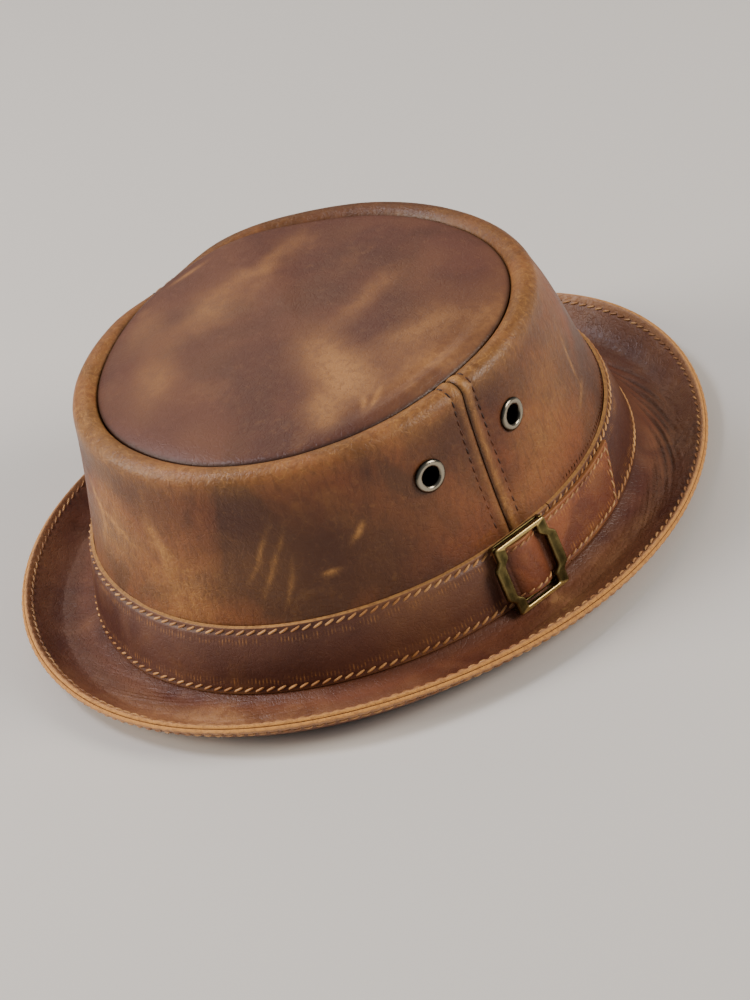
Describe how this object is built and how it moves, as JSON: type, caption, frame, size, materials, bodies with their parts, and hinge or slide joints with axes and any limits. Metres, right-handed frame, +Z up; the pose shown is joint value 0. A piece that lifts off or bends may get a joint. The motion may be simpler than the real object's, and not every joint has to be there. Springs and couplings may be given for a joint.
{
  "type": "leather porkpie hat",
  "caption": "Leather porkpie hat with a tapered crown, domed tip inside a rolled rim, curled stitched brim, and a strap band with a brass slide buckle.",
  "frame": {"origin": "on the surface it rests on, under the middle of the hat", "axes": "+Z up, -Y the wearer's front, +X the wearer's left with the buckle"},
  "size_m": [0.2228, 0.2598, 0.0869],
  "materials": {
    "crown_leather": "oiled pull-up leather, satin, ochre brown with rubs",
    "tip_leather": "oiled pull-up leather, satin, dusky brown with ochre patches",
    "brim_leather": "oiled leather, fine wrinkles, raw tan edge",
    "band_leather": "dark oxblood strap leather, satin",
    "strap_leather": "mid brown strap leather, satin",
    "antique_brass": "antique brass, dark in the recesses, rubbed bright on the edges",
    "dark_nickel": "darkened nickel, polished"
  },
  "bodies": {
    "root": {"crown_side_front": "crown_leather", "crown_side_back": "crown_leather", "crown_tip": "tip_leather", "brim_upper": "brim_leather", "brim_under": "brim_leather", "hat_band": "band_leather", "buckle_strap": "strap_leather", "buckle": "antique_brass", "eyelet_left_front": "dark_nickel", "eyelet_left_back": "dark_nickel", "eyelet_right_front": "dark_nickel", "eyelet_right_back": "dark_nickel"}
  },
  "joints": []
}
